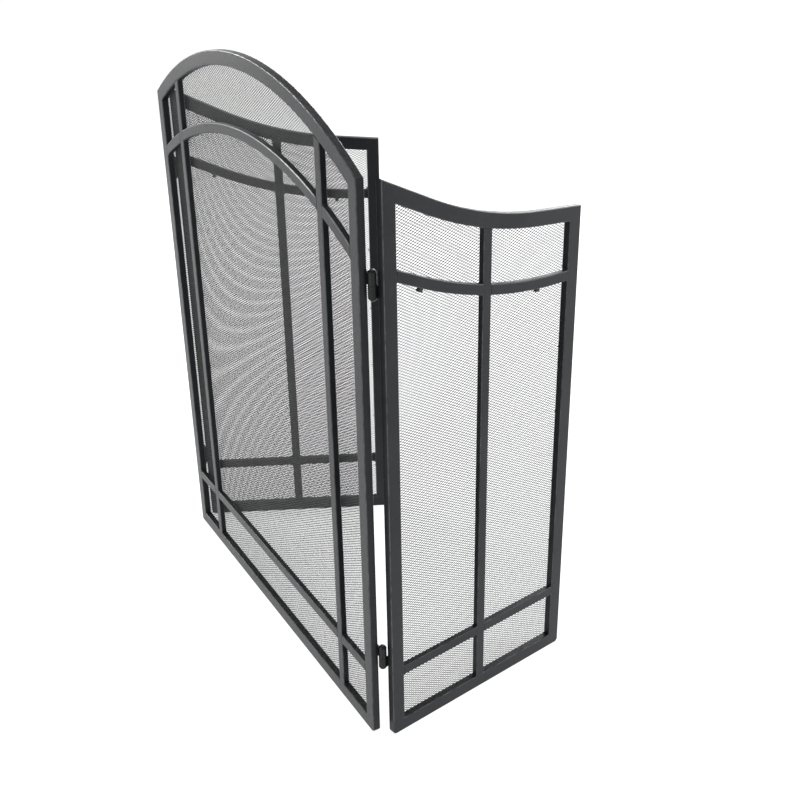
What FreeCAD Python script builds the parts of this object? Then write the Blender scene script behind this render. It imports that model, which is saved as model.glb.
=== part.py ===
"""Folding fireplace screen: an arched centre panel and two swept side panels on barrel hinges.

Millimetres, +Z up.  The origin is on the floor, under the middle of the centre panel's bottom rail.
The centre panel's tubes are centred on the XZ plane and its front (room) side faces -Y.  Each side
panel turns about a vertical hinge line just behind the centre panel's outer corner: a fold of 0
lies flat beside the centre panel and a fold of 180 lies flat behind it.

Every panel is drawn in its own frame: x across it from its left edge as the room sees it, y from
its front face backwards, z up.  Each tube is a front-view outline padded to its depth and hollowed
by a second outline, so that mitred, butted and coped ends meet face to face.
"""

import FreeCAD, Part
import math
import os

import Sketcher

# ----------------------------------------------------------------------------- driving sizes (mm)
SIZES = {
    # centre panel
    "centre_width": 622.0,
    "arch_height": 790.0,
    "stile_height": 705.0,
    "centre_bar_offset": 222.0,
    "inner_arch_height": 695.0,
    "inner_arch_radius": 640.0,
    # side panels
    "side_width": 300.0,
    "side_outer_height": 625.0,
    "side_bar_offset": 149.0,
    "sweep_angle": 24.7,
    "sweep_end_angle": 4.5,
    "sweep_end_length": 65.0,
    "second_rail_height": 615.0,
    "second_rail_outer_height": 549.0,
    "second_rail_angle": 22.5,
    "second_rail_end_angle": 0.0,
    "second_rail_end_length": 30.0,
    # tube stock
    "frame_face": 18.0,
    "frame_depth": 10.0,
    "bar_face": 13.0,
    "bar_depth": 8.0,
    "tube_wall": 1.0,
    "tube_corner": 1.3,
    "lower_rail_height": 92.0,
    "foot_radius": 5.0,
    # mesh, tacked into the frames and onto the bars' backs, and the lugs under the second rails
    "mesh_thickness": 0.8,
    "lug_width": 5.0,
    "lug_drop": 4.5,
    "lug_depth": 5.0,
    "lug_near_offset": 54.0,
    "lug_far_setback": 65.0,
    # hinges
    "hinge_gap": 8.0,
    "hinge_setback": 4.0,
    "barrel_diameter": 10.0,
    "pin_diameter": 6.0,
    "pin_clearance": 0.05,
    "pin_head_diameter": 9.2,
    "pin_head_height": 3.5,
    "knuckle_length": 14.0,
    "knuckle_gap": 0.3,
    "leaf_thickness": 2.0,
    "leaf_land": 12.0,
    "lower_hinge_height": 116.5,
    "upper_hinge_height": 593.0,
    "right_fold": 101.0,
    "left_fold": 115.0,
}

doc = FreeCAD.newDocument("FireplaceScreen")
sheet = doc.addObject("Spreadsheet::Sheet", "Sizes")
for row, (alias, number) in enumerate(SIZES.items(), start=1):
    sheet.set("A%d" % row, alias)
    sheet.set("B%d" % row, str(number))
    sheet.setAlias("B%d" % row, alias)
doc.recompute()

pieces = []
TOUCH = 1e-4


def named(expression):
    """The expression with each alias in it written as a reference to the sheet."""
    words, word = [], ""
    for letter in expression + " ":
        if letter.isalnum() or letter == "_":
            word += letter
        else:
            words += ["Sizes." + word if word in SIZES else word, letter]
            word = ""
    return "".join(words).strip()


def size(expression):
    """The number that an expression over the sheet's aliases gives."""
    found = sheet.evalExpression(named(expression))
    return float(getattr(found, "Value", found))


def bind(target, prop, expression):
    target.setExpression(prop, named(expression))


# ----------------------------------------------------------------------------- sketches
class Arc:
    """A round stretch of an outline, from the point before it to the point after it."""

    def __init__(self, centre_x, centre_z, radius):
        self.centre_x, self.centre_z, self.radius = centre_x, centre_z, radius

    def curve(self, start, end):
        """The arc, and whether a sketch holds it the other way round."""
        centre = FreeCAD.Vector(size(self.centre_x), size(self.centre_z), 0)
        first = math.atan2(start.y - centre.y, start.x - centre.x)
        last = math.atan2(end.y - centre.y, end.x - centre.x)
        sweep = (last - first + math.pi) % (2 * math.pi) - math.pi
        turned = sweep < 0
        if turned:
            first, sweep = last, -sweep
        circle = Part.Circle(centre, FreeCAD.Vector(0, 0, 1), size(self.radius))
        return Part.ArcOfCircle(circle, first, first + sweep), turned


def draw(body, name, plane_role, outline):
    """A closed sketch: pairs of expressions for its corners, an Arc between two where it is round."""
    sketch = body.newObject("Sketcher::SketchObject", name)
    plane = [f for f in body.Origin.OriginFeatures if f.Role == plane_role][0]
    sketch.AttachmentSupport = [(plane, "")]
    sketch.MapMode = "FlatFace"
    corners, arcs = [], {}
    for item in outline:
        if isinstance(item, Arc):
            arcs[len(corners) - 1] = item
        else:
            corners.append(item)
    spots = [FreeCAD.Vector(size(x), size(z), 0) for x, z in corners]
    count = len(corners)
    turned = []
    for i, start in enumerate(spots):
        end = spots[(i + 1) % count]
        if i in arcs:
            curve, reverse = arcs[i].curve(start, end)
        else:
            curve, reverse = Part.LineSegment(start, end), False
        sketch.addGeometry(curve, False)
        turned.append(reverse)
    for i in range(count):
        after = (i + 1) % count
        ends = (1 if turned[i] else 2, 2 if turned[after] else 1)
        sketch.addConstraint(Sketcher.Constraint("Coincident", i, ends[0], after, ends[1]))
    for i, (x, z) in enumerate(corners):
        vertex = 2 if turned[i] else 1
        for kind, axis, expression in (("DistanceX", -2, x), ("DistanceY", -1, z)):
            if expression == "0":
                sketch.addConstraint(Sketcher.Constraint("PointOnObject", i, vertex, axis))
                continue
            rule = Sketcher.Constraint(kind, -1, 1, i, vertex, size(expression))
            bind(sketch, "Constraints[%d]" % sketch.addConstraint(rule), expression)
        if i in arcs:
            rule = Sketcher.Constraint("Radius", i, size(arcs[i].radius))
            bind(sketch, "Constraints[%d]" % sketch.addConstraint(rule), arcs[i].radius)
    return sketch


# ----------------------------------------------------------------------------- panels
def swivel(piece, turn):
    """Turns a piece about the vertical by an expression in degrees."""
    spin = FreeCAD.Rotation(FreeCAD.Vector(0, 0, 1), size(turn))
    piece.Placement = FreeCAD.Placement(FreeCAD.Vector(), spin)
    if turn != "0":
        bind(piece, ".Placement.Rotation.Angle", turn)


class Panel:
    """Where one panel's own frame stands, and which way its distances from the hinge run."""

    def __init__(self, name, hand, pivot_x, turn, start_x):
        self.name, self.hand, self.pivot_x, self.turn = name, hand, pivot_x, turn
        self.start_x = start_x

    def across(self, distance):
        """A distance from the hinge edge as a coordinate across the panel."""
        return "side_width - (%s)" % distance if self.hand < 0 else "(%s)" % distance

    def place(self, piece, depth="0"):
        """Puts a piece whose own XZ plane is at that depth behind the panel's front face."""
        along, back = "(%s)" % self.start_x, "(%s + %s)" % (FRONT_OF_PIVOT, depth)
        turn = "(%s)" % self.turn
        swivel(piece, self.turn)
        shift_x = " + %s * cos(%s) - %s * sin(%s)" % (along, turn, back, turn)
        shift_y = " + %s * sin(%s) + %s * cos(%s)" % (along, turn, back, turn)
        bind(piece, ".Placement.Base.x", self.pivot_x + shift_x)
        bind(piece, ".Placement.Base.y", PIVOT_Y + shift_y)


PIVOT_Y = "(frame_depth / 2 + hinge_setback)"
FRONT_OF_PIVOT = "0 - (frame_depth + hinge_setback)"
RIGHT_PIVOT_X = "(centre_width / 2 + hinge_gap / 2)"
LEFT_PIVOT_X = "(0 - centre_width / 2 - hinge_gap / 2)"

centre = Panel("centre", 1, "0", "0", "0 - centre_width / 2")
right = Panel("right", 1, RIGHT_PIVOT_X, "right_fold", "hinge_gap / 2")
left = Panel("left", -1, LEFT_PIVOT_X, "0 - left_fold", "0 - hinge_gap / 2 - side_width")


def long_edges(pad, inside, depth):
    """Names of a tube's long outer edges: the ones on its front and back faces that are not cut ends.

    The hollow runs out through a cut end, so it lies a wall away from the long edges alone.
    """
    names = []
    for i, edge in enumerate(pad.Shape.Edges, start=1):
        middle = edge.valueAt((edge.FirstParameter + edge.LastParameter) / 2)
        on_face = abs(abs(middle.y) - depth / 2) < TOUCH and abs(edge.BoundBox.YLength) < TOUCH
        middle.y = 0
        if on_face and inside.distToShape(Part.Vertex(middle))[0] > size("tube_wall") / 2:
            names.append("Edge%d" % i)
    return names


def tube(panel, label, outline, hollow, depth="frame_depth"):
    """A hollow tube whose front view is one outline and whose inside is another."""
    label = "%s_%s" % (panel.name, label)
    body = doc.addObject("PartDesign::Body", label)
    body.Label = label
    pad = body.newObject("PartDesign::Pad", label + "_pad")
    pad.Profile = draw(body, label + "_outline", "XZ_Plane", outline)
    pad.SideType = "Symmetric"
    bind(pad, "Length", depth)
    inside = draw(body, label + "_inside", "XZ_Plane", hollow)
    doc.recompute()
    corners = body.newObject("PartDesign::Fillet", label + "_corners")
    corners.Base = (pad, long_edges(pad, inside.Shape, size(depth)))
    bind(corners, "Radius", "tube_corner")
    doc.recompute()
    solid = body.Shape.Volume
    pocket = body.newObject("PartDesign::Pocket", label + "_hollow")
    pocket.Profile = inside
    pocket.SideType = "Symmetric"
    bind(pocket, "Length", depth + " - 2 * tube_wall")
    panel.place(body, depth + " / 2")
    doc.recompute()
    if not body.Shape.Volume < solid:
        raise RuntimeError(label + " is not hollow")
    pieces.append(body)


def sheet_piece(panel, label, outline, thickness, front):
    """A flat sheet whose front view is the outline and whose near face is at depth front."""
    label = "%s_%s" % (panel.name, label)
    body = doc.addObject("PartDesign::Body", label)
    body.Label = label
    pad = body.newObject("PartDesign::Pad", label + "_pad")
    pad.Profile = draw(body, label + "_outline", "XZ_Plane", outline)
    pad.SideType = "Symmetric"
    bind(pad, "Length", thickness)
    panel.place(body, "%s + %s / 2" % (front, thickness))
    doc.recompute()
    pieces.append(body)


def box_outline(x0, x1, z0, z1):
    return [(x0, z0), (x1, z0), (x1, z1), (x0, z1)]


def inset(x0, x1):
    return "%s + tube_wall" % x0, "%s - tube_wall" % x1


# ----------------------------------------------------------------------------- centre panel
MIDDLE = "(centre_width / 2)"
RISE = "(arch_height - stile_height)"
ARCH_RADIUS = "((%s ^ 2 + %s ^ 2) / (2 * %s))" % (MIDDLE, RISE, RISE)
ARCH_CENTRE = "(arch_height - %s)" % ARCH_RADIUS
UNDER_ARCH_RADIUS = "(%s - frame_face)" % ARCH_RADIUS
INNER_ARCH_CENTRE = "(inner_arch_height - inner_arch_radius)"
INNER_ARCH_TOP = "(inner_arch_radius + bar_face / 2)"
INNER_ARCH_BOTTOM = "(inner_arch_radius - bar_face / 2)"


def arch_height_at(x, radius, centre_z):
    """The height at x of a circle centred on the middle of the centre panel."""
    return "(%s + sqrt((%s) ^ 2 - ((%s) - %s) ^ 2))" % (centre_z, radius, x, MIDDLE)


def centre_side(x, hand):
    """A distance from the centre panel's nearer edge, on its left (1) or right (-1)."""
    return "(%s)" % x if hand > 0 else "(centre_width - (%s))" % x


UNDER_ARCH_CORNER = arch_height_at("frame_face", UNDER_ARCH_RADIUS, ARCH_CENTRE)


def arch_mitre(x):
    """The height at x of the joint between a stile and the arch."""
    slope = "(%s - stile_height) / frame_face" % UNDER_ARCH_CORNER
    return "(stile_height + (%s) * (%s))" % (x, slope)


def arch_ring(x):
    """The radius of the concentric circle that crosses that joint at x."""
    return "sqrt((%s - (%s)) ^ 2 + (%s - %s) ^ 2)" % (MIDDLE, x, arch_mitre(x), ARCH_CENTRE)


def mitred_arch(x0, x1):
    """The arch between the circles that cross its end joints at x0 and x1."""
    return [
        (centre_side(x0, 1), arch_mitre(x0)),
        Arc(MIDDLE, ARCH_CENTRE, arch_ring(x0)),
        (centre_side(x0, -1), arch_mitre(x0)),
        (centre_side(x1, -1), arch_mitre(x1)),
        Arc(MIDDLE, ARCH_CENTRE, arch_ring(x1)),
        (centre_side(x1, 1), arch_mitre(x1)),
    ]


def inner_arch(x0, x1, thin="0"):
    """The inner arch between two positions, each side thinned by thin."""
    top, bottom = "(%s - %s)" % (INNER_ARCH_TOP, thin), "(%s + %s)" % (INNER_ARCH_BOTTOM, thin)
    return [
        (x0, arch_height_at(x0, top, INNER_ARCH_CENTRE)),
        Arc(MIDDLE, INNER_ARCH_CENTRE, top),
        (x1, arch_height_at(x1, top, INNER_ARCH_CENTRE)),
        (x1, arch_height_at(x1, bottom, INNER_ARCH_CENTRE)),
        Arc(MIDDLE, INNER_ARCH_CENTRE, bottom),
        (x0, arch_height_at(x0, bottom, INNER_ARCH_CENTRE)),
    ]


def lower_rail(x0, x1, thin="0"):
    half = "(bar_face / 2 - %s)" % thin
    return box_outline(x0, x1, "lower_rail_height - " + half, "lower_rail_height + " + half)


def foot_round(inset):
    """The radius of a foot corner, that far inside its outer edge."""
    return "(foot_radius - (%s))" % inset


def foot_mitre(inset):
    """Where a rounded foot corner crosses the mitre, along either edge from the panel's corner."""
    return "(foot_radius - %s / sqrt(2))" % foot_round(inset)


FACE, WALL, THIN = "frame_face", "tube_wall", "(frame_face - tube_wall)"
BAR_NEAR = "(%s - centre_bar_offset - bar_face / 2)" % MIDDLE
BAR_FAR = "(%s - centre_bar_offset + bar_face / 2)" % MIDDLE

for side, hand in (("left", 1), ("right", -1)):

    def stile(x0, x1):
        return [
            (centre_side(x0, hand), "foot_radius"),
            Arc(centre_side("foot_radius", hand), "foot_radius", foot_round(x0)),
            (centre_side(foot_mitre(x0), hand), foot_mitre(x0)),
            (centre_side(x1, hand), x1),
            (centre_side(x1, hand), arch_mitre(x1)),
            (centre_side(x0, hand), arch_mitre(x0)),
        ]

    def bar(x0, x1):
        under_0 = arch_height_at(x0, UNDER_ARCH_RADIUS, ARCH_CENTRE)
        under_1 = arch_height_at(x1, UNDER_ARCH_RADIUS, ARCH_CENTRE)
        return [
            (centre_side(x0, hand), FACE),
            (centre_side(x1, hand), FACE),
            (centre_side(x1, hand), under_1),
            Arc(MIDDLE, ARCH_CENTRE, UNDER_ARCH_RADIUS),
            (centre_side(x0, hand), under_0),
        ]

    tube(centre, side + "_stile", stile("0", FACE), stile(WALL, THIN))
    tube(centre, side + "_bar", bar(BAR_NEAR, BAR_FAR), bar(*inset(BAR_NEAR, BAR_FAR)), "bar_depth")

tube(centre, "arch_rail", mitred_arch("0", FACE), mitred_arch(WALL, THIN))


def bottom_rail(width):
    """Outline and hollow of a panel's bottom rail, mitred into both stiles."""
    return [
        [
            (foot_mitre(inner), foot_mitre(inner)),
            Arc("foot_radius", "foot_radius", foot_round(inner)),
            ("foot_radius", inner),
            (width + " - foot_radius", inner),
            Arc(width + " - foot_radius", "foot_radius", foot_round(inner)),
            ("%s - %s" % (width, foot_mitre(inner)), foot_mitre(inner)),
            ("%s - (%s)" % (width, outer), outer),
            (outer, outer),
        ]
        for inner, outer in (("0", FACE), (WALL, THIN))
    ]


tube(centre, "bottom_rail", *bottom_rail("centre_width"))

CENTRE_BAYS = {
    "left": (FACE, BAR_NEAR),
    "middle": (BAR_FAR, centre_side(BAR_FAR, -1)),
    "right": (centre_side(BAR_NEAR, -1), centre_side(FACE, -1)),
}
for bay, (x0, x1) in CENTRE_BAYS.items():
    for rail, outline in (("inner_arch_", inner_arch), ("lower_rail_", lower_rail)):
        tube(centre, rail + bay, outline(x0, x1), outline(x0, x1, WALL), "bar_depth")

centre_mesh = [
    (centre_side(FACE, 1), FACE),
    (centre_side(FACE, -1), FACE),
    (centre_side(FACE, -1), UNDER_ARCH_CORNER),
    Arc(MIDDLE, ARCH_CENTRE, UNDER_ARCH_RADIUS),
    (centre_side(FACE, 1), UNDER_ARCH_CORNER),
]
sheet_piece(centre, "mesh", centre_mesh, "mesh_thickness", "bar_depth")


# ----------------------------------------------------------------------------- side panels
class Sweep:
    """A rail's top edge: straight down from the hinge, a hollow arc, then straight to the outer end.

    Its sizes begin with one word: the slopes of the two straights, and how long the outer one is.
    Distances run from the panel's hinge edge.  Edges below the top one are parallel to it.
    """

    def __init__(self, word, hinge_height, outer_height):
        self.hinge_height, self.outer_height = hinge_height, outer_height
        self.angle, self.end_angle = word + "_angle", word + "_end_angle"
        length = word + "_end_length"
        end = "(side_width - %s)" % length
        drop = "(%s - %s - side_width * tan(%s))" % (hinge_height, outer_height, self.end_angle)
        crossing = "(%s / (tan(%s) - tan(%s)))" % (drop, self.angle, self.end_angle)
        reach = "((%s - %s) / cos(%s))" % (end, crossing, self.end_angle)
        self.radius = "(%s / tan((%s - %s) / 2))" % (reach, self.angle, self.end_angle)
        self.centre_x = "(%s + %s * sin(%s))" % (end, self.radius, self.end_angle)
        rise = "%s * tan(%s) + %s * cos(%s)" % (length, self.end_angle, self.radius, self.end_angle)
        self.centre_z = "(%s + %s)" % (outer_height, rise)

    def ring(self, below):
        return "(%s + (%s))" % (self.radius, below)

    def spot(self, below, angle):
        reach = self.ring(below)
        return (
            "(%s - %s * sin(%s))" % (self.centre_x, reach, angle),
            "(%s - %s * cos(%s))" % (self.centre_z, reach, angle),
        )

    def tangent_point(self, below):
        """Where the arc meets the straight on the hinge side."""
        return self.spot(below, self.angle)

    def end_point(self, below):
        """Where the arc meets the outer straight."""
        return self.spot(below, self.end_angle)

    def straight_height(self, x, below):
        drop = "(%s) * tan(%s) + (%s) / cos(%s)" % (x, self.angle, below, self.angle)
        return "(%s - (%s))" % (self.hinge_height, drop)

    def arc_height(self, x, below):
        run = "(%s - (%s))" % (self.centre_x, x)
        return "(%s - sqrt(%s ^ 2 - %s ^ 2))" % (self.centre_z, self.ring(below), run)

    def end_height(self, inset, below):
        """The height of the outer straight at a distance in from the panel's outer edge."""
        rise = "(%s) * tan(%s) - (%s) / cos(%s)" % (inset, self.end_angle, below, self.end_angle)
        return "(%s + (%s))" % (self.outer_height, rise)


top_sweep = Sweep("sweep", "stile_height", "side_outer_height")
second_sweep = Sweep("second_rail", "second_rail_height", "second_rail_outer_height")
UNDER_TOP_CORNER = top_sweep.straight_height(FACE, FACE)
SIDE_BAR_NEAR = "(side_bar_offset - bar_face / 2)"
SIDE_BAR_FAR = "(side_bar_offset + bar_face / 2)"


def sweep_mitre(x):
    """The height at x of the joint between the hinge stile and the swept top rail."""
    return "(stile_height + (%s) * (%s - stile_height) / frame_face)" % (x, UNDER_TOP_CORNER)


def swept_arc(panel, sweep, below):
    return Arc(panel.across(sweep.centre_x), sweep.centre_z, sweep.ring(below))


def point(panel, x, z):
    return (panel.across(x), z)


def hinge_stile(panel, x0, x1):
    return [
        point(panel, x0, "foot_radius"),
        Arc(panel.across("foot_radius"), "foot_radius", foot_round(x0)),
        point(panel, foot_mitre(x0), foot_mitre(x0)),
        point(panel, x1, x1),
        point(panel, x1, sweep_mitre(x1)),
        point(panel, x0, sweep_mitre(x0)),
    ]


def outer_stile(panel, x0, x1):
    return [
        point(panel, "side_width - (%s)" % x0, "foot_radius"),
        Arc(panel.across("side_width - foot_radius"), "foot_radius", foot_round(x0)),
        point(panel, "side_width - %s" % foot_mitre(x0), foot_mitre(x0)),
        point(panel, "side_width - (%s)" % x1, x1),
        point(panel, "side_width - (%s)" % x1, top_sweep.end_height(x1, x1)),
        point(panel, "side_width - (%s)" % x0, top_sweep.end_height(x0, x0)),
    ]


def top_rail(panel, below_0, below_1):
    edge_0 = [
        point(panel, below_0, sweep_mitre(below_0)),
        point(panel, *top_sweep.tangent_point(below_0)),
        swept_arc(panel, top_sweep, below_0),
        point(panel, *top_sweep.end_point(below_0)),
        point(panel, "side_width - (%s)" % below_0, top_sweep.end_height(below_0, below_0)),
    ]
    edge_1 = [
        point(panel, "side_width - (%s)" % below_1, top_sweep.end_height(below_1, below_1)),
        point(panel, *top_sweep.end_point(below_1)),
        swept_arc(panel, top_sweep, below_1),
        point(panel, *top_sweep.tangent_point(below_1)),
        point(panel, below_1, sweep_mitre(below_1)),
    ]
    return edge_0 + edge_1


def side_bar(panel, x0, x1):
    return [
        point(panel, x0, FACE),
        point(panel, x1, FACE),
        point(panel, x1, top_sweep.arc_height(x1, FACE)),
        swept_arc(panel, top_sweep, FACE),
        point(panel, x0, top_sweep.arc_height(x0, FACE)),
    ]


def second_rail_near(panel, below_0, below_1):
    """The second rail from the hinge stile to the bar."""
    return [
        point(panel, FACE, second_sweep.straight_height(FACE, below_0)),
        point(panel, *second_sweep.tangent_point(below_0)),
        swept_arc(panel, second_sweep, below_0),
        point(panel, SIDE_BAR_NEAR, second_sweep.arc_height(SIDE_BAR_NEAR, below_0)),
        point(panel, SIDE_BAR_NEAR, second_sweep.arc_height(SIDE_BAR_NEAR, below_1)),
        swept_arc(panel, second_sweep, below_1),
        point(panel, *second_sweep.tangent_point(below_1)),
        point(panel, FACE, second_sweep.straight_height(FACE, below_1)),
    ]


def second_rail_far(panel, below_0, below_1):
    """The second rail from the bar to the outer stile."""
    end = "side_width - frame_face"
    return [
        point(panel, SIDE_BAR_FAR, second_sweep.arc_height(SIDE_BAR_FAR, below_0)),
        swept_arc(panel, second_sweep, below_0),
        point(panel, *second_sweep.end_point(below_0)),
        point(panel, end, second_sweep.end_height(FACE, below_0)),
        point(panel, end, second_sweep.end_height(FACE, below_1)),
        point(panel, *second_sweep.end_point(below_1)),
        swept_arc(panel, second_sweep, below_1),
        point(panel, SIDE_BAR_FAR, second_sweep.arc_height(SIDE_BAR_FAR, below_1)),
    ]


def side_mesh(panel):
    outer = "side_width - frame_face"
    return [
        point(panel, FACE, FACE),
        point(panel, outer, FACE),
        point(panel, outer, top_sweep.end_height(FACE, FACE)),
        point(panel, *top_sweep.end_point(FACE)),
        swept_arc(panel, top_sweep, FACE),
        point(panel, *top_sweep.tangent_point(FACE)),
        point(panel, FACE, UNDER_TOP_CORNER),
    ]


SIDE_FRAME = {"hinge_stile": hinge_stile, "outer_stile": outer_stile, "top_rail": top_rail}
SECOND_RAIL = {"second_rail_near": second_rail_near, "second_rail_far": second_rail_far}

for panel in (left, right):
    for label, shape in SIDE_FRAME.items():
        tube(panel, label, shape(panel, "0", FACE), shape(panel, WALL, THIN))
    tube(panel, "bottom_rail", *bottom_rail("side_width"))
    hollow_bar = side_bar(panel, *inset(SIDE_BAR_NEAR, SIDE_BAR_FAR))
    tube(panel, "bar", side_bar(panel, SIDE_BAR_NEAR, SIDE_BAR_FAR), hollow_bar, "bar_depth")
    for label, shape in SECOND_RAIL.items():
        hollow = shape(panel, WALL, "bar_face - tube_wall")
        tube(panel, label, shape(panel, "0", "bar_face"), hollow, "bar_depth")
    bays = {"near": (FACE, SIDE_BAR_NEAR), "far": (SIDE_BAR_FAR, "(side_width - frame_face)")}
    for bay, ends in bays.items():
        x0, x1 = (panel.across(end) for end in ends)
        tube(panel, "lower_rail_" + bay, lower_rail(x0, x1), lower_rail(x0, x1, WALL), "bar_depth")
    sheet_piece(panel, "mesh", side_mesh(panel), "mesh_thickness", "bar_depth")


# ----------------------------------------------------------------------------- hinges
BARREL = "(barrel_diameter / 2)"
BORE = "(pin_diameter / 2)"


def knuckle(label, hand, pivot_x, turn, bottom, clearance):
    """A barrel knuckle with the leaf that is welded to the back of a stile on its hand side."""
    barrel = doc.addObject("Part::Cylinder", label + "_barrel")
    bind(barrel, "Radius", BARREL)
    bind(barrel, "Height", "knuckle_length")
    leaf = doc.addObject("Part::Box", label + "_leaf")
    bind(leaf, "Length", "hinge_gap / 2 + leaf_land")
    bind(leaf, "Width", "leaf_thickness")
    bind(leaf, "Height", "knuckle_length")
    bind(leaf, ".Placement.Base.x", "0" if hand > 0 else "0 - hinge_gap / 2 - leaf_land")
    bind(leaf, ".Placement.Base.y", "0 - hinge_setback")
    body = doc.addObject("Part::Fuse", label + "_body")
    body.Base, body.Tool = barrel, leaf
    bore = doc.addObject("Part::Cylinder", label + "_bore")
    bind(bore, "Radius", "%s + %s" % (BORE, clearance))
    bind(bore, "Height", "knuckle_length")
    made = doc.addObject("Part::Cut", label)
    made.Label = label
    made.Base, made.Tool = body, bore
    swivel(made, turn)
    bind(made, ".Placement.Base.x", pivot_x)
    bind(made, ".Placement.Base.y", PIVOT_Y)
    bind(made, ".Placement.Base.z", bottom)
    pieces.append(made)


def hinge_pin(label, pivot_x, bottom):
    """A pin with two domed heads, turned about its own axis."""
    head, height = "(pin_head_diameter / 2)", "pin_head_height"
    dome = "((%s ^ 2 + %s ^ 2) / (2 * %s))" % (head, height, height)
    shank_top = "(pin_head_height + 2 * knuckle_length + 2 * knuckle_gap)"
    tip = "(%s + pin_head_height)" % shank_top
    outline = [
        ("0", "0"),
        Arc("0", dome, dome),
        (head, height),
        (BORE, height),
        (BORE, shank_top),
        (head, shank_top),
        Arc("0", "%s - %s" % (tip, dome), dome),
        ("0", tip),
    ]
    body = doc.addObject("PartDesign::Body", label)
    body.Label = label
    turned = body.newObject("PartDesign::Revolution", label + "_turned")
    profile = draw(body, label + "_profile", "XZ_Plane", outline)
    turned.Profile = profile
    turned.ReferenceAxis = (profile, ["V_Axis"])
    turned.Angle = 360.0
    body.Tip = turned
    bind(body, ".Placement.Base.x", pivot_x)
    bind(body, ".Placement.Base.y", PIVOT_Y)
    bind(body, ".Placement.Base.z", "%s - pin_head_height" % bottom)
    doc.recompute()
    pieces.append(body)


for panel in (left, right):
    for level in ("lower", "upper"):
        label = "%s_%s_hinge" % (panel.name, level)
        middle = "%s_hinge_height" % level
        foot = "(%s - knuckle_gap / 2 - knuckle_length)" % middle
        top = "(%s + knuckle_gap / 2)" % middle
        swinging, standing = label + "_side_knuckle", label + "_centre_knuckle"
        knuckle(swinging, panel.hand, panel.pivot_x, panel.turn, foot, "pin_clearance")
        knuckle(standing, -panel.hand, panel.pivot_x, "0", top, "0")
        hinge_pin(label + "_pin", panel.pivot_x, "(%s - knuckle_gap)" % foot)


# ----------------------------------------------------------------------------- lugs
def lug_at(x, z, lean):
    """A lug that hangs from (x, z) on a rail's underside, turned by the rail's lean in degrees."""
    half, drop, depth = size("lug_width") / 2, size("lug_drop"), size("lug_depth")
    near = size("bar_depth") - depth
    lug = Part.makeBox(2 * half, depth, drop, FreeCAD.Vector(-half, near, -drop))
    spin = FreeCAD.Rotation(FreeCAD.Vector(0, 1, 0), lean)
    lug.Placement = FreeCAD.Placement(FreeCAD.Vector(x, 0, z), spin)
    return lug


def add_lugs(panel):
    """Lugs under the second rail: one below its straight run and one below its arc."""
    near, far = size("lug_near_offset"), size("side_width - lug_far_setback")
    run = size(second_sweep.centre_x) - far
    far_lean = math.degrees(math.asin(run / size(second_sweep.ring("bar_face"))))
    near_z = size(second_sweep.straight_height(str(near), "bar_face"))
    far_z = size(second_sweep.arc_height(str(far), "bar_face"))
    group = doc.addObject("Part::Feature", panel.name + "_mesh_lugs")
    group.Label = group.Name
    group.Shape = Part.makeCompound(
        [
            lug_at(size(panel.across(str(x))), z, panel.hand * lean)
            for x, z, lean in ((near, near_z, size("second_rail_angle")), (far, far_z, far_lean))
        ]
    )
    panel.place(group)
    doc.recompute()
    pieces.append(group)


for panel in (left, right):
    add_lugs(panel)


# ----------------------------------------------------------------------------- export
doc.recompute()
failed = [o.Name for o in doc.Objects if {"Invalid", "Error"} & set(o.State)]
failed += [p.Label for p in pieces if p.Shape.isNull() or not p.Shape.isValid()]
if failed:
    raise RuntimeError("failed: " + ", ".join(failed))
os.makedirs("parts", exist_ok=True)
for piece in pieces:
    piece.Shape.exportStep("parts/%s.step" % piece.Label)
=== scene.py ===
"""Looks of the folding fireplace screen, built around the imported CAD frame.

Everything is in metres in the row frame: x along the centre panel, -y to the room, z up.
The CAD tubes, hinges and lugs stay and get painted-steel materials.  The three plain mesh sheets
are replaced by expanded-metal mesh, strand by strand, and weld beads are laid where tubes meet,
round the hinge leaves and where the mesh is tacked to the frame.
"""
import math

import bpy
import numpy as np
from mathutils import Matrix, Vector


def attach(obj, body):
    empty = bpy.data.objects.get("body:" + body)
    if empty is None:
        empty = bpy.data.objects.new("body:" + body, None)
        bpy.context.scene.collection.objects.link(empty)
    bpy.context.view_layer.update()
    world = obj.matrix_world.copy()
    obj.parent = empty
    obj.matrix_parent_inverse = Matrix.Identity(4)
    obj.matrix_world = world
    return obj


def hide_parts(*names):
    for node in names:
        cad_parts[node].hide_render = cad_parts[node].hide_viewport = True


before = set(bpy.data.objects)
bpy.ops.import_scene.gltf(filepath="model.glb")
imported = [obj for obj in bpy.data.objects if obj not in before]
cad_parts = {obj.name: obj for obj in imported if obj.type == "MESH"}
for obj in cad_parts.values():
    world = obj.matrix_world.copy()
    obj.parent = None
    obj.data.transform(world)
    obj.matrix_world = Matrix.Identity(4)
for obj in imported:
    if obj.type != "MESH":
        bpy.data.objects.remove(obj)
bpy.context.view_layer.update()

PANELS = ("centre", "left", "right")
RANDOM = np.random.default_rng(7)
UP = np.array((0.0, 0.0, 1.0))
MM = 0.001


# ----------------------------------------------------------------------------- camera
CAMERA_PLACE = (1.312, -0.5045, 0.9722)
AZIMUTH, PITCH_DOWN, ROLL = 61.36, 26.36, -0.98
LENS, SENSOR = 50.85, 36.0
SHIFT_X, SHIFT_Y = -0.0015, 0.046


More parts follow.
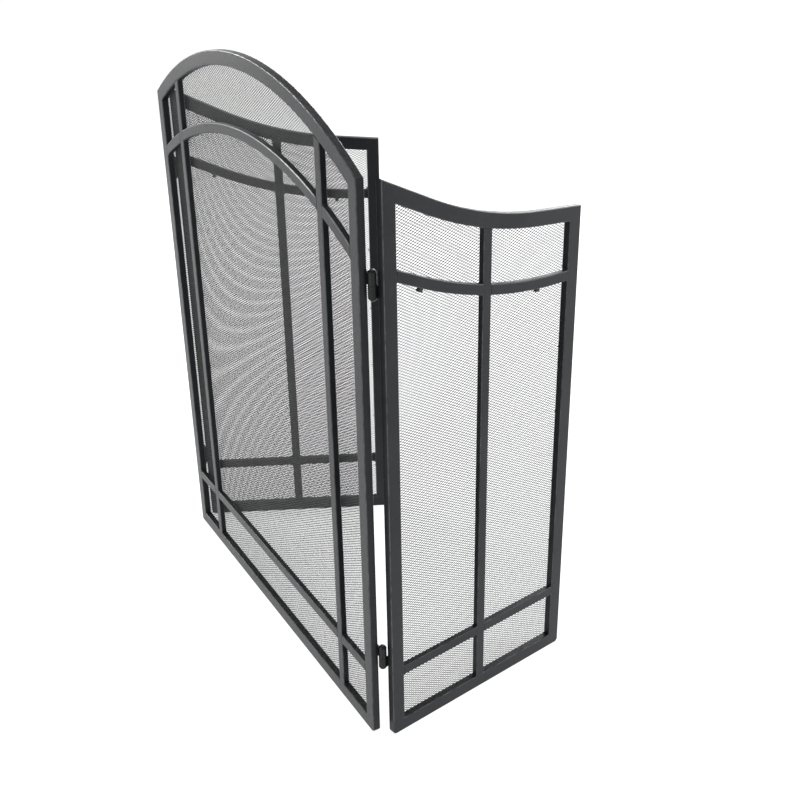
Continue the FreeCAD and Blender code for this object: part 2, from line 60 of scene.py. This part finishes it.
def make_camera():
    """The photograph's viewpoint: high up, off the right-hand end of the screen."""
    data = bpy.data.cameras.new("camera")
    data.lens, data.sensor_width = LENS, SENSOR
    data.shift_x, data.shift_y = SHIFT_X, SHIFT_Y
    azimuth, pitch, roll = (math.radians(a) for a in (AZIMUTH, PITCH_DOWN, ROLL))
    level = Vector((-math.sin(azimuth), math.cos(azimuth), 0.0))
    forward = level * math.cos(pitch) - Vector((0, 0, math.sin(pitch)))
    right = Vector((math.cos(azimuth), math.sin(azimuth), 0.0))
    up = right.cross(forward)
    across = math.cos(roll) * right + math.sin(roll) * up
    upward = math.cos(roll) * up - math.sin(roll) * right
    camera = bpy.data.objects.new("camera", data)
    bpy.context.scene.collection.objects.link(camera)
    camera.matrix_world = Matrix((across, upward, -forward)).transposed().to_4x4()
    camera.location = CAMERA_PLACE
    bpy.context.scene.camera = camera


# ----------------------------------------------------------------------------- materials
WHITE = (1.0, 1.0, 1.0, 1.0)
# painted highlight: the lighter colour laid on the tubes' rounded long edges
EDGE_HIGHLIGHT_PAINT = (0.105, 0.110, 0.118, 1)
DUST = (0.16, 0.155, 0.145, 1)
WORN_LIGHTER = 2.2
# noise scales in cycles per metre
CLOUDS, EDGE_PATCHES, RUBS, SATIN, DUST_GRAIN = 14.0, 60.0, 90.0, 220.0, 320.0
PEEL, SPECKS, FINE_PEEL = 520.0, 1500.0, 2600.0
# how deep the two grades of orange peel are, in metres
PEEL_DEPTH, FINE_DEPTH = 0.0004, 0.00008
PAPER_DARK, PAPER_LIGHT, PAPER_GLOW = 0.34, 0.36, 0.87


class Nodes:
    """A material's node tree, with short ways to add and join nodes."""

    def __init__(self, name):
        self.material = bpy.data.materials.new(name)
        self.material.use_nodes = True
        self.tree = self.material.node_tree
        self.shader = self.tree.nodes["Principled BSDF"]
        self.place = self.add("ShaderNodeTexCoord").outputs["Object"]

    def add(self, kind, **values):
        node = self.tree.nodes.new(kind)
        for key, value in values.items():
            if key.startswith("in_"):
                self.feed(node.inputs[key[3:].replace("_", " ").title()], value)
            else:
                setattr(node, key, value)
        return node

    def feed(self, socket, value):
        if isinstance(value, bpy.types.NodeSocket):
            self.tree.links.new(value, socket)
        else:
            socket.default_value = value

    def noise(self, scale, detail=2.0, roughness=0.5, stretch=None):
        """Noise over the piece's own coordinates: scale is in cycles per metre."""
        place = self.place
        if stretch:
            mapping = self.add("ShaderNodeMapping", in_vector=place, in_scale=stretch)
            place = mapping.outputs["Vector"]
        node = self.add("ShaderNodeTexNoise", in_vector=place, in_scale=scale, in_detail=detail)
        node.inputs["Roughness"].default_value = roughness
        return node.outputs["Fac"]

    def spread(self, value, low, high, to_low=0.0, to_high=1.0):
        """The value between low and high, spread between two numbers."""
        node = self.add("ShaderNodeMapRange", in_value=value)
        limits = {"From Min": low, "From Max": high, "To Min": to_low, "To Max": to_high}
        for key, number in limits.items():
            node.inputs[key].default_value = number
        return node.outputs["Result"]

    def mix(self, factor, colour_a, colour_b):
        node = self.add("ShaderNodeMix", data_type="RGBA")
        self.feed(node.inputs["Factor"], factor)
        self.feed(node.inputs[6], colour_a)
        self.feed(node.inputs[7], colour_b)
        return node.outputs[2]

    def product(self, a, b):
        node = self.add("ShaderNodeMath", operation="MULTIPLY")
        self.feed(node.inputs[0], a)
        self.feed(node.inputs[1], b)
        return node.outputs["Value"]

    def painted_edge_highlight(self, back):
        """How strongly a painted highlight lightens the coat: patchy along a tube's rounded long
        edges, nothing on its flat faces.

        Across a rounded edge the surface turns between facing back and facing sideways.
        """
        turned = self.add("ShaderNodeVectorMath", operation="DOT_PRODUCT")
        self.feed(turned.inputs[0], self.add("ShaderNodeTexCoord").outputs["Normal"])
        turned.inputs[1].default_value = back
        facing = self.add("ShaderNodeMath", operation="ABSOLUTE")
        self.feed(facing.inputs[0], turned.outputs["Value"])
        off_side = self.spread(facing.outputs["Value"], 0.12, 0.40)
        off_front = self.spread(facing.outputs["Value"], 0.94, 0.99, 1.0, 0.0)
        patchy = self.spread(self.noise(EDGE_PATCHES, 3.0, 0.6), 0.35, 0.65, 0.20, 0.75)
        return self.product(self.product(off_side, off_front), patchy)

    def bump(self, height, distance, strength, normal=None):
        node = self.add("ShaderNodeBump", in_height=height, in_distance=distance, in_strength=strength)
        if normal:
            self.feed(node.inputs["Normal"], normal)
        return node.outputs["Normal"]


def powder_coat(name, dark, light, roughness, grain, back=None, shine=0.26):
    """Baked powder coat: orange peel, cloudy tone, fine specks, rubbed patches and dust from above.

    A tube's rounded long edges get a painted highlight, lighter than the coat, when back, its panel's
    depth direction, is given.
    """
    n = Nodes(name)
    cloud = n.spread(n.noise(CLOUDS, 3.0, 0.55), 0.35, 0.65)
    speck = n.spread(n.noise(SPECKS, 2.0, 0.6), 0.62, 0.72, 0.0, 0.35)
    rub = n.spread(n.noise(RUBS, 5.0, 0.7, (1.0, 1.0, 0.35)), 0.60, 0.74, 0.0, 0.35)
    worn = [c * WORN_LIGHTER for c in light[:3]] + [1.0]
    tone = n.mix(rub, n.mix(speck, n.mix(cloud, dark, light), worn), worn)
    if back is not None:
        # painted highlight along the rounded long edges, mixed into the coat's colour
        tone = n.mix(n.painted_edge_highlight(back), tone, EDGE_HIGHLIGHT_PAINT)
    dust = n.spread(n.noise(DUST_GRAIN, 4.0, 0.65), 0.45, 0.75, 0.0, 0.30)
    up = n.add("ShaderNodeSeparateXYZ", in_vector=n.add("ShaderNodeTexCoord").outputs["Normal"])
    lying = n.product(dust, n.spread(up.outputs["Z"], 0.6, 0.98))
    n.feed(n.shader.inputs["Base Color"], n.mix(lying, tone, DUST))
    satin = n.spread(n.noise(SATIN, 3.0, 0.6), 0.3, 0.7, roughness - 0.05, roughness + 0.07)
    n.feed(n.shader.inputs["Roughness"], satin)
    n.shader.inputs["Specular IOR Level"].default_value = shine
    peel = n.bump(n.noise(PEEL, 2.0, 0.45), PEEL_DEPTH, grain)
    fine = n.bump(n.noise(FINE_PEEL, 1.0, 0.5), FINE_DEPTH, grain * 0.8, peel)
    n.feed(n.shader.inputs["Normal"], fine)
    return n.material


def floor_paper():
    """White studio paper, lit through a little from below so that it stays even."""
    n = Nodes("studio_paper")
    white = n.mix(n.noise(3.0, 3.0), (PAPER_DARK,) * 3 + (1,), (PAPER_LIGHT,) * 3 + (1,))
    n.feed(n.shader.inputs["Base Color"], white)
    n.shader.inputs["Roughness"].default_value = 0.9
    n.shader.inputs["Specular IOR Level"].default_value = 0.1
    n.shader.inputs["Emission Color"].default_value = WHITE
    n.shader.inputs["Emission Strength"].default_value = PAPER_GLOW
    return n.material


HINGE_COAT = powder_coat(
    "black_hinge_coat", (0.004, 0.0043, 0.0046, 1), (0.009, 0.0093, 0.0096, 1), 0.34, 0.45
)
MESH_COAT = powder_coat(
    "mesh_coat", (0.014, 0.015, 0.015, 1), (0.025, 0.026, 0.026, 1), 0.45, 0.2
)
WELD_COAT = powder_coat(
    "weld_coat", (0.012, 0.013, 0.014, 1), (0.028, 0.029, 0.031, 1), 0.42, 0.5
)


def signed_volume(points, faces):
    """Six times the volume inside closed faces: negative when they face inwards."""
    corners = points[faces].astype(float)
    first = corners[:, 0]
    pairs = ((corners[:, k], corners[:, k + 1]) for k in range(1, faces.shape[1] - 1))
    return sum(np.einsum("ij,ij->", first, np.cross(a, b)) for a, b in pairs)


def new_piece(name, points, faces, material, body, smooth=False):
    """A closed mesh piece that rides on a body, with its faces turned outwards."""
    mesh = bpy.data.meshes.new(name)
    points, faces = np.asarray(points, dtype=np.float32), np.asarray(faces, dtype=np.int32)
    if signed_volume(points, faces) < 0:
        faces = faces[:, ::-1].copy()
    corners = faces.shape[1]
    mesh.vertices.add(len(points))
    mesh.vertices.foreach_set("co", points.ravel())
    mesh.loops.add(faces.size)
    mesh.loops.foreach_set("vertex_index", faces.ravel())
    mesh.polygons.add(len(faces))
    mesh.polygons.foreach_set("loop_start", np.arange(0, faces.size, corners, dtype=np.int32))
    mesh.polygons.foreach_set("use_smooth", np.full(len(faces), smooth))
    mesh.update(calc_edges=True)
    mesh.validate()
    mesh.materials.append(material)
    piece = bpy.data.objects.new(name, mesh)
    bpy.context.scene.collection.objects.link(piece)
    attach(piece, body)
    return piece


# ----------------------------------------------------------------------------- panels
class Panel:
    """A panel's own directions: u away from the hinge, d to its back, z up."""

    def __init__(self, name):
        self.name, self.body = name, name + "_panel"
        self.sheet = self.vertices(name + "_mesh", own=False)
        if name == "centre":
            self.along, self.back = np.array((1.0, 0, 0)), np.array((0, 1.0, 0))
        else:
            spread = self.sheet[:, :2] - self.sheet[:, :2].mean(axis=0)
            axis = np.linalg.svd(spread, full_matrices=False)[2][0]
            axis = axis * np.sign(axis[1])
            inward = np.array((axis[1], -axis[0])) * (-1 if name == "right" else 1)
            self.along, self.back = np.append(axis, 0.0), np.append(inward, 0.0)

    def vertices(self, node, own=True):
        """A CAD node's points: as (u, d, z), or in the row frame."""
        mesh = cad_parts[node].data
        flat = np.empty(len(mesh.vertices) * 3)
        mesh.vertices.foreach_get("co", flat)
        points = flat.reshape(-1, 3)
        return self.own(points) if own else points

    def own(self, points):
        return np.stack((points @ self.along, points @ self.back, points[:, 2]), axis=1)

    def world(self, u, d, z):
        u, d, z = (np.asarray(v, dtype=float)[..., None] for v in (u, d, z))
        return u * self.along + d * self.back + z * UP


PANEL = {name: Panel(name) for name in PANELS}
FRAME_COAT = {
    name: powder_coat(
        name + "_charcoal_powder_coat",
        (0.0048, 0.0056, 0.0070, 1),
        (0.0096, 0.0112, 0.0134, 1),
        0.33,
        0.35,
        PANEL[name].back,
    )
    for name in PANELS
}


# ----------------------------------------------------------------------------- expanded mesh
LONG_WAY = 6.1 * MM
SHORT_WAY = 3.47 * MM
STRAND_WIDTH = 0.60 * MM
STRAND_THICK = 0.30 * MM
STRAND_TILT = 0.17 * MM
WANDER = 0.02 * MM
KNOT_WIDTH = 0.8 * STRAND_WIDTH
CUT_STEPS = 12


class Sheet:
    """The outline of a panel's mesh sheet: straight sides and foot under a curved top."""

    def __init__(self, panel):
        points = panel.own(panel.sheet)
        self.low, self.near, self.far = points[:, 2].min(), points[:, 0].min(), points[:, 0].max()
        self.depth = (points[:, 1].min() + points[:, 1].max()) / 2
        top = points[points[:, 2] > self.low + MM]
        order = np.argsort(top[:, 0])
        self.top_u, self.top_z = top[order, 0], top[order, 2]
        self.high = self.top_z.max()

    def top(self, u):
        return np.interp(u, self.top_u, self.top_z)

    def inside(self, u, z):
        return (u >= self.near) & (u <= self.far) & (z >= self.low) & (z <= self.top(u))


def cut_point(sheet, kept, lost):
    """Where a strand from a kept point to one past the edge leaves the sheet."""
    for _ in range(CUT_STEPS):
        middle = (kept + lost) / 2
        if sheet.inside(middle[0], middle[2]):
            kept = middle
        else:
            lost = middle
    return kept


def strand_runs(sheet, row):
    """The stretches of one zigzag row that lie inside the sheet, as points (u, d, z)."""
    half_long, rise = LONG_WAY / 2, SHORT_WAY / 2
    first = int(sheet.near / half_long) - 2
    last = int(sheet.far / half_long) + 2
    index = np.arange(first, last + 1)
    sign = np.where((index + row) % 2 == 0, 1.0, -1.0)
    swing = (rise - KNOT_WIDTH) / 2
    u = index * half_long + RANDOM.normal(0, WANDER, len(index))
    z = sheet.low + (row + 0.5) * rise + sign * swing + RANDOM.normal(0, WANDER, len(index))
    points = np.stack((u, sheet.depth + sign * STRAND_TILT, z), axis=1)
    kept = sheet.inside(u, z)
    runs, start = [], None
    for i, inside in enumerate(kept):
        if inside and start is None:
            start = i
        if start is not None and (not inside or i == len(kept) - 1):
            end = i if not inside else i + 1
            run = [points[k] for k in range(start, end)]
            if start > 0:
                run.insert(0, cut_point(sheet, points[start], points[start - 1]))
            if not inside:
                run.append(cut_point(sheet, points[end - 1], points[end]))
            if len(run) > 1:
                runs.append(np.array(run))
            start = None
    return runs


def strand_mesh(panel, sheet, rows):
    """Points and faces of flat strands swept along every run of the rows."""
    lean = math.atan2(SHORT_WAY, LONG_WAY)
    half_width, half_thick = STRAND_WIDTH / 2 / math.cos(lean), STRAND_THICK / 2
    ring = [(w * half_width, t * half_thick) for w, t in ((1, -1), (1, 1), (-1, 1), (-1, -1))]
    points, faces, count = [], [], 0
    for row in rows:
        for run in strand_runs(sheet, row):
            u, d, z = run.T
            corners = [panel.world(u, d + thick, z + rise) for rise, thick in ring]
            points.append(np.stack(corners, axis=1).reshape(-1, 3))
            start = count + 4 * np.arange(len(run) - 1)[:, None]
            for k in range(4):
                after = (k + 1) % 4
                faces.append(start + np.array((k, after, after + 4, k + 4)))
            end = count + 4 * (len(run) - 1)
            faces.append(count + np.array(((3, 2, 1, 0),)))
            faces.append(end + np.array(((0, 1, 2, 3),)))
            count += 4 * len(run)
    return np.concatenate(points), np.concatenate(faces)


MESH_BANDS = {"centre": 4, "left": 2, "right": 2}


def make_mesh(panel):
    """The panel's mesh, in level bands that meet between two rows of diamonds."""
    sheet = Sheet(panel)
    rows = int((sheet.high - sheet.low) / (SHORT_WAY / 2)) + 1
    bands = MESH_BANDS[panel.name]
    edges = [round(rows * k / bands) for k in range(bands + 1)]
    for band in range(bands):
        points, faces = strand_mesh(panel, sheet, range(edges[band], edges[band + 1]))
        name = "%s_expanded_mesh_%d" % (panel.name, band + 1)
        piece = new_piece(name, points, faces, MESH_COAT, panel.body)
        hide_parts(panel.name + "_mesh")


# ----------------------------------------------------------------------------- welds
BEAD_SIDES = 8
END_CAPS = np.array(((0, 1, 2, 3), (0, 3, 4, 7), (4, 5, 6, 7)))
RIPPLE = 0.55 * MM
RIPPLE_SWELL, UNEVEN, BEAD_WANDER, END_SWELL = 0.10, 0.06, 0.04, 0.45
CORNER_BEAD, LEAF_SIDE_BEAD, LEAF_END_BEAD = 1.1 * MM, 1.0 * MM, 1.2 * MM
TACK_BEAD, TACK_HALF_LENGTH, TACK_SPACING = 0.8 * MM, 1.3 * MM, 95 * MM
TACK_JITTER = 8 * MM
# how close to a tube's end its corners lie: under the sloping arch, and at a square end
SLOPED_END, SQUARE_END = 4 * MM, 0.3 * MM
SAME_PLACE = 0.2 * MM
FRONT_INSET, BACK_INSET, BEAD_SINK = 0.9 * MM, 0.3 * MM, 0.25 * MM
LEAF_OVERHANG, RIM_INSET, LEAF_LIFT, LEAF_CORNER = 1.5 * MM, 2.0 * MM, 0.2 * MM, 0.5 * MM
TACK_INSET, TOP_CLEARANCE = 0.3 * MM, 20 * MM
SCUFF_BEAD, SCUFF_SINK = 0.4 * MM, 0.1 * MM
# each scuff's distance from the stile's outer edge and its lower and upper end, in mm
SCUFFS = ((6.0, 645.0, 648.5), (10.5, 644.0, 646.0), (15.5, 648.0, 652.0))


class Welds:
    """Weld beads of one panel, gathered into one piece."""

    def __init__(self, panel):
        self.panel, self.points, self.faces, self.count = panel, [], [], 0

    def bead(self, start, end, radius):
        """A rippled bead along a straight line between two points (u, d, z)."""
        start, end = np.array(start, dtype=float), np.array(end, dtype=float)
        axis = int(np.argmax(np.abs(end - start)))
        if end[axis] < start[axis]:
            start, end = end, start
        sides = [np.eye(3)[(axis + k) % 3] for k in (1, 2)]
        stations = max(5, int(np.linalg.norm(end - start) / RIPPLE))
        ripples = RIPPLE_SWELL * np.cos(np.arange(stations) * math.pi)
        swell = 1.0 + ripples + RANDOM.normal(0, UNEVEN, stations)
        swell[0], swell[-1] = END_SWELL, END_SWELL
        angle = np.arange(BEAD_SIDES) / BEAD_SIDES * math.tau
        spot = start + (end - start) * np.linspace(0, 1, stations)[:, None]
        stray = RANDOM.normal(0, BEAD_WANDER * radius, (stations, 1))
        spot = spot + stray * (sides[0] + sides[1])
        reach = (radius * swell)[:, None, None]
        rim = np.cos(angle)[:, None] * sides[0] + np.sin(angle)[:, None] * sides[1]
        rings = (spot[:, None, :] + reach * rim).reshape(-1, 3)
        self.points.append(self.panel.world(rings[:, 0], rings[:, 1], rings[:, 2]))
        first = self.count + BEAD_SIDES * np.arange(stations - 1)[:, None]
        for k in range(BEAD_SIDES):
            after = (k + 1) % BEAD_SIDES
            self.faces.append(first + np.array((k, after, after + BEAD_SIDES, k + BEAD_SIDES)))
        last = self.count + BEAD_SIDES * (stations - 1)
        self.faces.append(self.count + END_CAPS[:, ::-1])
        self.faces.append(last + END_CAPS)
        self.count += BEAD_SIDES * stations

    def corner_beads(self, node, side, upright):
        """Beads in the two inner corners where a rail's or a bar's end meets another tube."""
        points = self.panel.vertices(node)
        axis, other = (2, 0) if upright else (0, 2)
        limit = points[:, axis].max() if side > 0 else points[:, axis].min()
        span = SLOPED_END if upright and side > 0 else SQUARE_END
        near = points[np.abs(points[:, axis] - limit) < span]
        front, back = near[:, 1].min() + FRONT_INSET, near[:, 1].max() - BACK_INSET
        for edge in (near[:, other].min(), near[:, other].max()):
            here = near[np.abs(near[:, other] - edge) < SAME_PLACE]
            reach = here[:, axis].max() if side > 0 else here[:, axis].min()
            spot = np.zeros(3)
            spot[other], spot[axis] = edge, reach - side * BEAD_SINK
            start, end = spot.copy(), spot.copy()
            start[1], end[1] = front, back
            self.bead(start, end, CORNER_BEAD)

    def leaf(self, node, stile):
        """Beads round the three edges of a hinge leaf that lie on the back of its stile."""
        points, frame_points = self.panel.vertices(node), self.panel.vertices(stile)
        back = frame_points[:, 1].max()
        low, high = points[:, 2].min(), points[:, 2].max()
        flat = points[np.abs(points[:, 1] - back) < SAME_PLACE]
        near, far = flat[:, 0].min(), flat[:, 0].max()
        edges = frame_points[:, 0].min(), frame_points[:, 0].max()
        inner, outer = (near, far) if near > edges[0] + LEAF_OVERHANG else (far, near)
        rim = edges[0] if abs(outer - edges[0]) < abs(outer - edges[1]) else edges[1]
        rim += math.copysign(RIM_INSET, inner - rim)
        depth = back + LEAF_LIFT
        for z in (low, high):
            self.bead((rim, depth, z), (inner, depth, z), LEAF_SIDE_BEAD)
        start, end = (inner, depth, low + LEAF_CORNER), (inner, depth, high - LEAF_CORNER)
        self.bead(start, end, LEAF_END_BEAD)

    def tack(self, u, z):
        """A short tack that holds the mesh sheet to the tube beside it."""
        depth = self.panel.own(self.panel.sheet)[:, 1]
        middle = (depth.min() + depth.max()) / 2
        start, end = (u - TACK_HALF_LENGTH, middle, z), (u + TACK_HALF_LENGTH, middle, z)
        self.bead(start, end, TACK_BEAD)

    def finish(self):
        name = self.panel.name + "_welds"
        points, faces = np.concatenate(self.points), np.concatenate(self.faces)
        new_piece(name, points, faces, WELD_COAT, self.panel.body, smooth=True)


UPRIGHTS = {
    "centre": ("centre_left_bar", "centre_right_bar"),
    "left": ("left_bar",),
    "right": ("right_bar",),
}


def level_tubes(name):
    """The rails between a panel's uprights."""
    if name == "centre":
        rails, bays = ("inner_arch", "lower_rail"), ("left", "middle", "right")
    else:
        rails, bays = ("second_rail", "lower_rail"), ("near", "far")
    return ["%s_%s_%s" % (name, rail, bay) for rail in rails for bay in bays]


def make_welds(panel):
    """Corner beads, beads round the hinge leaves, mesh tacks and, on the right panel, scuffs."""
    welds = Welds(panel)
    for node in UPRIGHTS[panel.name]:
        for side in (-1, 1):
            welds.corner_beads(node, side, upright=True)
    for node in level_tubes(panel.name):
        for side in (-1, 1):
            welds.corner_beads(node, side, upright=False)
    for hinge in ("lower", "upper"):
        if panel.name == "centre":
            welds.leaf("left_%s_hinge_centre_knuckle" % hinge, "centre_left_stile")
            welds.leaf("right_%s_hinge_centre_knuckle" % hinge, "centre_right_stile")
        else:
            knuckle = "%s_%s_hinge_side_knuckle" % (panel.name, hinge)
            welds.leaf(knuckle, panel.name + "_hinge_stile")
    sheet = Sheet(panel)
    for u in (sheet.near + TACK_INSET, sheet.far - TACK_INSET):
        inward = 1.0 if u < (sheet.near + sheet.far) / 2 else -1.0
        low, high = sheet.low + 0.6 * TACK_SPACING, sheet.top(u) - TOP_CLEARANCE
        for z in np.arange(low, high, TACK_SPACING):
            welds.tack(u + inward * TACK_BEAD, z + RANDOM.uniform(-TACK_JITTER, TACK_JITTER))
    if panel.name == "right":
        stile = panel.vertices("right_hinge_stile")
        edge, front = stile[:, 0].min(), stile[:, 1].min() + SCUFF_SINK
        for across, low, high in SCUFFS:
            spot = edge + across * MM
            welds.bead((spot, front, low * MM), (spot, front, high * MM), SCUFF_BEAD)
    welds.finish()


# ----------------------------------------------------------------------------- stage and light
FLOOR_REACH = 20.0
# name, place, what it points at, diameter, watts, colour
LIGHTS = (
    ("key", (-2.9, -1.0, 1.3), (0, 0, 0.6), 1.4, 62, (1, 1, 1)),
    ("side", (0.9, 2.4, 1.1), (0.3, 0.2, 0.5), 1.2, 48, (0.90, 0.95, 1.0)),
    ("top", (0.6, -0.2, 2.7), (0.1, 0.1, 0.3), 1.0, 15, (1, 1, 1)),
    ("edge", (0.7, -2.6, 0.9), (0.1, 0, 0.4), 0.5, 22, (1, 1, 1)),
    ("back", (-1.7, 2.5, 1.8), (0.2, 0.15, 0.5), 1.5, 60, (1, 1, 1)),
)
SUN_STRENGTH, SUN_SPREAD, SUN_TILT = 0.45, 70, (-12, -14, 0)
# the walls are white up to one height of the view direction and fade to a dim ceiling by another
WALL_TOP, CEILING, WALL_GLOW, CEILING_GLOW = 0.22, 0.50, 1.0, 0.12


def make_floor():
    mesh = bpy.data.meshes.new("floor")
    corners = [(x * FLOOR_REACH, y * FLOOR_REACH, 0) for x, y in ((-1, -1), (1, -1), (1, 1), (-1, 1))]
    mesh.from_pydata(corners, [], [(0, 1, 2, 3)])
    mesh.materials.append(floor_paper())
    floor = bpy.data.objects.new("floor", mesh)
    bpy.context.scene.collection.objects.link(floor)


def area_light(name, place, target, size, power, tint):
    data = bpy.data.lights.new(name, "AREA")
    data.shape, data.size, data.energy, data.color = "DISK", size, power, tint
    light = bpy.data.objects.new(name, data)
    bpy.context.scene.collection.objects.link(light)
    light.location = place
    light.rotation_euler = (Vector(target) - Vector(place)).to_track_quat("-Z", "Y").to_euler()


def make_world():
    """White studio walls that fade upwards."""
    world = bpy.data.worlds.new("studio")
    world.use_nodes = True
    tree = world.node_tree
    background = tree.nodes["Background"]
    background.inputs["Color"].default_value = WHITE
    place = tree.nodes.new("ShaderNodeTexCoord")
    split = tree.nodes.new("ShaderNodeSeparateXYZ")
    fade = tree.nodes.new("ShaderNodeMapRange")
    fade.inputs["From Min"].default_value = WALL_TOP
    fade.inputs["From Max"].default_value = CEILING
    fade.inputs["To Min"].default_value = WALL_GLOW
    fade.inputs["To Max"].default_value = CEILING_GLOW
    tree.links.new(place.outputs["Generated"], split.inputs["Vector"])
    tree.links.new(split.outputs["Z"], fade.inputs["Value"])
    tree.links.new(fade.outputs["Result"], background.inputs["Strength"])
    bpy.context.scene.world = world


def make_light():
    make_world()
    for light in LIGHTS:
        area_light(*light)
    sun = bpy.data.lights.new("overhead", "SUN")
    sun.energy, sun.angle = SUN_STRENGTH, math.radians(SUN_SPREAD)
    overhead = bpy.data.objects.new("overhead", sun)
    bpy.context.scene.collection.objects.link(overhead)
    overhead.rotation_euler = [math.radians(a) for a in SUN_TILT]
    view = bpy.context.scene.view_settings
    view.view_transform, view.look = "Standard", "None"


def paint_cad():
    """Gives each CAD node its coat, on its object's slot."""
    for name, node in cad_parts.items():
        coat = FRAME_COAT[name.split("_")[0]]
        if "hinge_" in name and ("knuckle" in name or "pin" in name):
            coat = HINGE_COAT
        elif name.endswith("_lugs"):
            coat = WELD_COAT
        if not node.material_slots:
            node.data.materials.append(coat)
        for slot in node.material_slots:
            slot.link = "OBJECT"
            slot.material = coat


make_camera()
paint_cad()
for panel_name in PANELS:
    make_mesh(PANEL[panel_name])
    make_welds(PANEL[panel_name])
make_floor()
make_light()
